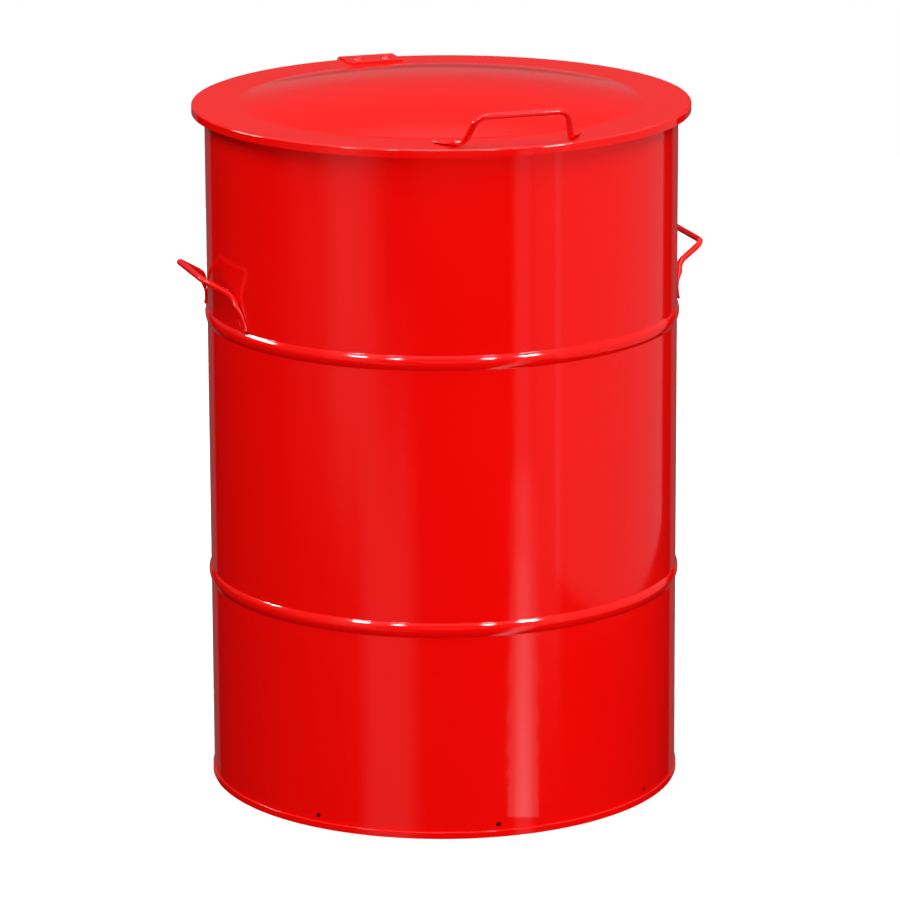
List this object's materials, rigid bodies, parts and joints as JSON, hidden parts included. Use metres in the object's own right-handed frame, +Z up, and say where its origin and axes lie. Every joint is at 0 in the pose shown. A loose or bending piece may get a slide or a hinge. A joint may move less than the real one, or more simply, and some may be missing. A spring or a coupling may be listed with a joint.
{
  "type": "hinged-lid steel drum bin",
  "caption": "Upright painted steel drum bin with rolled hoops, rod carry handles and a shallow domed lid on a rear hinge.",
  "frame": {"origin": "drum axis at the floor, under the middle of the base ring", "axes": "+Z up along the drum axis, -Y toward the lid handle (front), +Y toward the hinge, +X and -X toward the carry handles"},
  "size_m": [0.5898, 0.5693, 0.8103],
  "materials": {
    "red_paint": "gloss powder coat, signal red",
    "rim_wire_steel": "bare drawn steel wire"
  },
  "bodies": {
    "drum": {"body_shell": "red_paint", "top_rim_wire": "rim_wire_steel", "base_pan": "red_paint", "left_carry_handle": "red_paint", "left_handle_welds": "red_paint", "right_carry_handle": "red_paint", "right_handle_welds": "red_paint", "hinge_body_leaf": "red_paint", "body_hinge_rivets": "red_paint", "hinge_pin": "red_paint"},
    "lid": {"lid_panel": "red_paint", "lid_handle": "red_paint", "lid_handle_welds": "red_paint", "hinge_lid_leaf": "red_paint", "lid_hinge_rivets": "red_paint"}
  },
  "joints": [
    {"name": "lid_hinge", "type": "hinge", "parent": "drum", "child": "lid", "pos_m": [0, 0.2818, 0.7685], "axis": [-1, 0, 0], "range_deg": [0, 230]}
  ]
}
